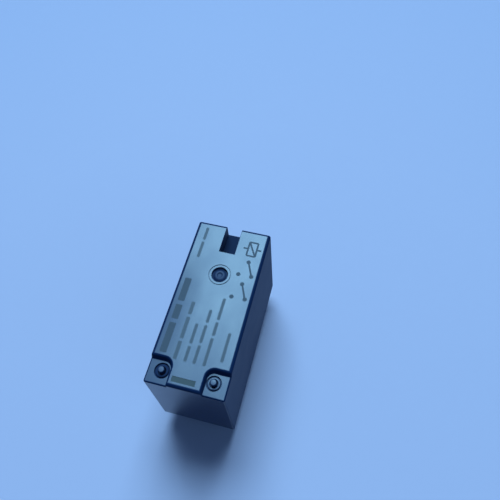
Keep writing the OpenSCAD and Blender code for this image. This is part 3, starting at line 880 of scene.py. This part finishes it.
def resin_sheet():
    """The resin as a pool whose surface climbs a little at every wall and pin."""
    source = NODES["sealing_resin"].data
    spots = np.empty(len(source.vertices) * 3)
    source.vertices.foreach_get("co", spots)
    spots = np.round(spots.reshape(-1, 3) / MM, 4)
    uses = {}
    for face in source.polygons:
        loop = [tuple(spots[v]) for v in face.vertices]
        if all(abs(p[2] - RESIN_Z) < 0.001 for p in loop):
            for a, b in zip(loop, loop[1:] + loop[:1]):
                key = tuple(sorted((a[:2], b[:2])))
                uses[key] = uses.get(key, 0) + 1
    rims = np.array([key for key, count in uses.items() if count == 1])
    step = RESIN_STEP
    xs = np.arange(-HALF_L + RIM_WALL - step, HALF_L - RIM_WALL + 1.5 * step, step)
    ys = np.arange(-HALF_W + RIM_WALL - step, HALF_W - RIM_WALL + 1.5 * step, step)
    grid = np.stack(np.meshgrid(xs, ys, indexing="ij"), -1).reshape(-1, 2)
    a, run = rims[:, 0], rims[:, 1] - rims[:, 0]
    offset = grid[:, None] - a
    along = np.clip((offset * run).sum(-1) / (run * run).sum(-1), 0, 1)
    away = np.linalg.norm(offset - along[..., None] * run, axis=-1).min(1)
    crosses = (a[:, 1] > grid[:, None, 1]) != (rims[:, 1, 1] > grid[:, None, 1])
    rise = np.where(run[:, 1] == 0, 1.0, run[:, 1])
    at = a[:, 0] + (grid[:, None, 1] - a[:, 1]) / rise * run[:, 0]
    inside = (crosses & (grid[:, None, 0] < at)).sum(1) % 2 == 1
    gap = np.where(inside, away, 0.0)
    climb = bpy.context.scene.relay_shape.meniscus / MM
    heights = RESIN_Z - climb * np.exp(-gap / RESIN_REACH)
    keep = (inside | (away < RESIN_SINK)).reshape(len(xs), len(ys))
    bm = bmesh.new()
    verts = {}
    for n, (x, y) in enumerate(grid):
        i, j = divmod(n, len(ys))
        if keep[i, j]:
            verts[i, j] = bm.verts.new((x * MM, y * MM, heights[n] * MM))
    for i, j in list(verts):
        corners = [(i, j), (i, j + 1), (i + 1, j + 1), (i + 1, j)]
        if all(c in verts for c in corners):
            bm.faces.new([verts[c] for c in corners])
    bmesh.ops.delete(bm, geom=[v for v in bm.verts if not v.link_faces], context="VERTS")
    # The back and the walls are made one by one, so that their order is the same in each run
    borders = [edge.verts[:] for edge in bm.edges if edge.is_boundary]
    front, back_z = bm.faces[:], (FLANGE_Z - RESIN_GAP) * MM
    back = {v: bm.verts.new((v.co.x, v.co.y, back_z)) for v in bm.verts[:]}
    for face in front:
        bm.faces.new([back[v] for v in face.verts][::-1])
    for start, end in borders:
        bm.faces.new((start, end, back[end], back[start]))
    bmesh.ops.recalc_face_normals(bm, faces=bm.faces)
    return loose(bm)


class RELAY_OT_underside(bpy.types.Operator):
    """Moulded base and the resin poured round it"""

    bl_idname = "relay.underside"
    bl_label = "Underside"

    def execute(self, context):
        colours = context.scene.relay_finish
        shape = context.scene.relay_shape
        plastic = moulded_plastic("base_plastic", colours.base, rough=0.45, grain=7000.0)
        base = without_slivers(softened_copy("base", shape.small_edge))
        finish_piece(base, "base_moulding", plastic, nodes=["base"], flat=True)
        resin = poured_resin("epoxy", colours.resin)
        finish_piece(resin_sheet(), "resin_pool", resin, nodes=["sealing_resin"], sharp=60)
        return {"FINISHED"}


class RELAY_OT_terminals(bpy.types.Operator):
    """Stamped and tinned terminals with softened edges"""

    bl_idname = "relay.terminals"
    bl_label = "Terminals"

    def execute(self, context):
        colour = context.scene.relay_finish.tin
        tin = worked_metal("tinned_terminal", colour, rough=0.3, stretch=(900.0, 900.0, 160.0))
        for node in TERMINALS:
            made = softened_copy(node, context.scene.relay_shape.metal_edge)
            finish_piece(made, node + "_strip", tin, nodes=[node])
        return {"FINISHED"}


def wound_coil():
    """The winding as a sleeve whose outside shows its turns of wire."""
    low, high = (Vector(corner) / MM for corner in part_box("coil_winding"))
    outer = (high.x - low.x) / 2
    turns = round((high.z - low.z) / WIRE_PITCH)
    pitch = (high.z - low.z) / turns
    profile = [(WINDING_BORE, high.z), (WINDING_BORE, low.z)]
    for i in range(turns * WIRE_STEPS):
        swell = abs(math.sin(math.pi * i / WIRE_STEPS))
        profile.append((outer - WIRE_GROOVE * pitch * (1 - swell), low.z + pitch * i / WIRE_STEPS))
    profile.append((outer - WIRE_GROOVE * pitch, high.z))
    middle = (low + high) / 2
    bm = bmesh.new()
    rings = []
    for r, z in profile:
        points = circle(middle.x, middle.y, r, WINDING_SIDES)
        rings.append([bm.verts.new((x * MM, y * MM, z * MM)) for x, y in points])
    for ring, following in zip(rings, rings[1:] + rings[:1]):
        for i in range(WINDING_SIDES):
            j = (i + 1) % WINDING_SIDES
            bm.faces.new((ring[i], ring[j], following[j], following[i]))
    bmesh.ops.recalc_face_normals(bm, faces=bm.faces)
    return loose(bm)


class RELAY_OT_coil(bpy.types.Operator):
    """Wound coil on its bobbin, with its leads"""

    bl_idname = "relay.coil"
    bl_label = "Coil"

    def execute(self, context):
        colours = context.scene.relay_finish
        shape = context.scene.relay_shape
        wire = wound_wire("enamelled_copper", colours.copper)
        finish_piece(wound_coil(), "coil_turns", wire, nodes=["coil_winding"], sharp=80)
        for node in ("coil_lead_a", "coil_lead_b"):
            made = softened_copy(node, shape.metal_edge)
            finish_piece(made, node + "_wrap", wire, nodes=[node])
        ivory = moulded_plastic("bobbin_plastic", colours.ivory, rough=0.42, grain=6000.0)
        bobbin = softened_copy("bobbin", shape.small_edge)
        finish_piece(bobbin, "bobbin_moulding", ivory, nodes=["bobbin"], flat=True)
        return {"FINISHED"}


class RELAY_OT_magnet(bpy.types.Operator):
    """Core, yoke, armature and the spring at its hinge"""

    bl_idname = "relay.magnet"
    bl_label = "Magnet"

    def execute(self, context):
        colours = context.scene.relay_finish
        shape = context.scene.relay_shape
        iron = worked_metal("soft_iron", colours.iron, rough=0.34, stretch=(500.0, 2500.0, 500.0))
        for node, body in (("core", "housing"), ("yoke", "housing"), ("armature", "armature")):
            made = softened_copy(node, shape.small_edge)
            finish_piece(made, node + "_iron", iron, body, [node], flat=True)
        bronze = worked_metal("hinge_bronze", colours.bronze, **LEAF_GRAIN)
        node = "hinge_spring"
        leaf = softened_copy(node, shape.metal_edge / 2)
        finish_piece(leaf, "hinge_spring_leaf", bronze, "armature", [node], flat=True)
        return {"FINISHED"}


class RELAY_OT_contacts(bpy.types.Operator):
    """Push rod, spring leaves and contact rivets"""

    bl_idname = "relay.contacts"
    bl_label = "Contacts"

    def execute(self, context):
        colours = context.scene.relay_finish
        shape = context.scene.relay_shape
        plastic = moulded_plastic("card_plastic", tinted(colours.ivory, 1.1), rough=0.38, grain=7000.0)
        card = softened_copy("card", shape.small_edge)
        finish_piece(card, "push_rod", plastic, "card", ["card"], flat=True)
        bronze = worked_metal("bronze_leaf", colours.bronze, **LEAF_GRAIN)
        even_grain = (1500.0, 1500.0, 1500.0)
        silver = worked_metal("silver_alloy", colours.silver, rough=0.24, stretch=even_grain, tarnish=0.12)
        for pole in "ab":
            spring = f"spring_{pole}"
            node = "moving_" + spring
            leaf = softened_copy(node, shape.metal_edge / 2)
            finish_piece(leaf, f"spring_leaf_{pole}", bronze, spring, [node], flat=True)
            for kind, body in (("moving", spring), ("nc", "housing"), ("no", "housing")):
                node = f"{kind}_contact_{pole}"
                rivet = softened_copy(node, shape.metal_edge, 3)
                finish_piece(rivet, node + "_rivet", silver, body, [node])
        return {"FINISHED"}


def pale_floor(colour):
    """Plain paper under the object, with painted light that makes it lighter towards the camera, clear from
    below and fading out into the background far away.
    """
    f = Finish("paper")
    fibre = f.noise(900.0, 4.0, 0.6)
    # Painted light: the paper is painted lighter towards the camera and darker far off, to even out how the
    # key light falls on it
    near = f.above(f.part(f.place, "X"), -120.0, 200.0)
    f.shade(
        base_color=f.blend(near, tinted(colour, 0.93), tinted(colour, 1.06)),
        roughness=(0.75 + fibre * 0.15).clamped(),
    )
    below = f.node("ShaderNodeNewGeometry", out="Backfacing")
    away = f.node("ShaderNodeVectorMath", {"operation": "LENGTH"}, {0: f.place}, out="Value")
    unseen = (below + f.above(away, 60.0, 240.0)).clamped()
    return f.overlay(unseen, f.node("ShaderNodeBsdfTransparent"))


def even_light(colour, strength):
    """A world that lights evenly, and shows its colour in full to camera, gloss and glass."""
    world = bpy.data.worlds.new("studio")
    world.use_nodes = True
    f = NodeSums(world.node_tree)
    camera, gloss, glass = (f.node("ShaderNodeLightPath", out=f"Is {ray} Ray") for ray in SHOWN_RAYS)
    seen = (camera + gloss + glass).clamped()
    back = f.found("BACKGROUND")
    back.inputs["Color"].default_value = (*colour, 1.0)
    f.put(back.inputs["Strength"], strength + seen * (1.0 - strength))
    bpy.context.scene.world = world


def softbox(name, place, target, size, power, colour):
    lamp = bpy.data.lights.new(name, "AREA")
    lamp.shape = "RECTANGLE"
    lamp.size, lamp.size_y = size
    lamp.energy = power
    lamp.color = colour
    made = bpy.data.objects.new(name, lamp)
    bpy.context.scene.collection.objects.link(made)
    made.location = place
    made.rotation_euler = (Vector(target) - Vector(place)).to_track_quat("-Z", "Y").to_euler()


class RELAY_OT_stage(bpy.types.Operator):
    """Pale floor, soft light and the camera"""

    bl_idname = "relay.stage"
    bl_label = "Stage"

    def execute(self, context):
        scene = context.scene
        stage = scene.relay_stage
        scene.view_settings.view_transform = "Standard"
        sheet = bmesh.new()
        level = PIN_TIP_Z - FLOOR_GAP * MM
        rim = circle(0, 0, FLOOR_RADIUS, FLOOR_SIDES)
        sheet.faces.new([sheet.verts.new((x * MM, y * MM, level)) for x, y in rim])
        floor = loose(sheet)
        floor.name = "paper_floor"
        floor.data.materials.append(pale_floor(stage.floor))
        even_light(stage.sky, stage.fill)
        top = Vector((0, 0, TOP_Z * MM))
        beyond = top + Vector(KEY_BOX["from_top"])
        softbox("key_softbox", beyond, top, KEY_BOX["size"], stage.key_power, KEY_BOX["colour"])
        faint = stage.key_power * SIDE_BOX["share"]
        softbox("side_softbox", SIDE_BOX["place"], top, SIDE_BOX["size"], faint, SIDE_BOX["colour"])
        lens = bpy.data.cameras.new("photo_camera")
        lens.lens, lens.sensor_width = CAMERA["lens"], CAMERA["sensor"]
        lens.shift_x, lens.shift_y = CAMERA["shift"]
        lens.clip_start = CAMERA["clip"]
        made = bpy.data.objects.new("photo_camera", lens)
        scene.collection.objects.link(made)
        made.location = CAMERA["place"]
        made.rotation_euler = [math.radians(a) for a in CAMERA["turn"]]
        scene.camera = made
        return {"FINISHED"}


STEPS = (
    RELAY_OT_stage,
    RELAY_OT_cover,
    RELAY_OT_print,
    RELAY_OT_underside,
    RELAY_OT_terminals,
    RELAY_OT_coil,
    RELAY_OT_magnet,
    RELAY_OT_contacts,
)


class RELAY_PT_panel(bpy.types.Panel):
    """Lists the relay's pieces"""

    bl_idname = "RELAY_PT_panel"
    bl_label = "Relay"
    bl_space_type = "VIEW_3D"
    bl_region_type = "UI"
    bl_category = "Relay"

    def draw(self, context):
        for step in STEPS:
            self.layout.operator(step.bl_idname)
        for group in (context.scene.relay_shape, context.scene.relay_finish, context.scene.relay_stage):
            box = self.layout.box()
            for name in group.__annotations__:
                box.prop(group, name)


CLASSES = (RelayShape, RelayFinish, RelayStage, *STEPS, RELAY_PT_panel)


def register():
    for cls in CLASSES:
        bpy.utils.register_class(cls)
    bpy.types.Scene.relay_shape = PointerProperty(type=RelayShape)
    bpy.types.Scene.relay_finish = PointerProperty(type=RelayFinish)
    bpy.types.Scene.relay_stage = PointerProperty(type=RelayStage)


def unregister():
    del bpy.types.Scene.relay_stage
    del bpy.types.Scene.relay_finish
    del bpy.types.Scene.relay_shape
    for cls in reversed(CLASSES):
        bpy.utils.unregister_class(cls)


def main():
    register()
    bpy.ops.relay.stage()
    bpy.ops.relay.cover()
    bpy.ops.relay.print()
    bpy.ops.relay.underside()
    bpy.ops.relay.terminals()
    bpy.ops.relay.coil()
    bpy.ops.relay.magnet()
    bpy.ops.relay.contacts()


if __name__ == "__main__":
    main()
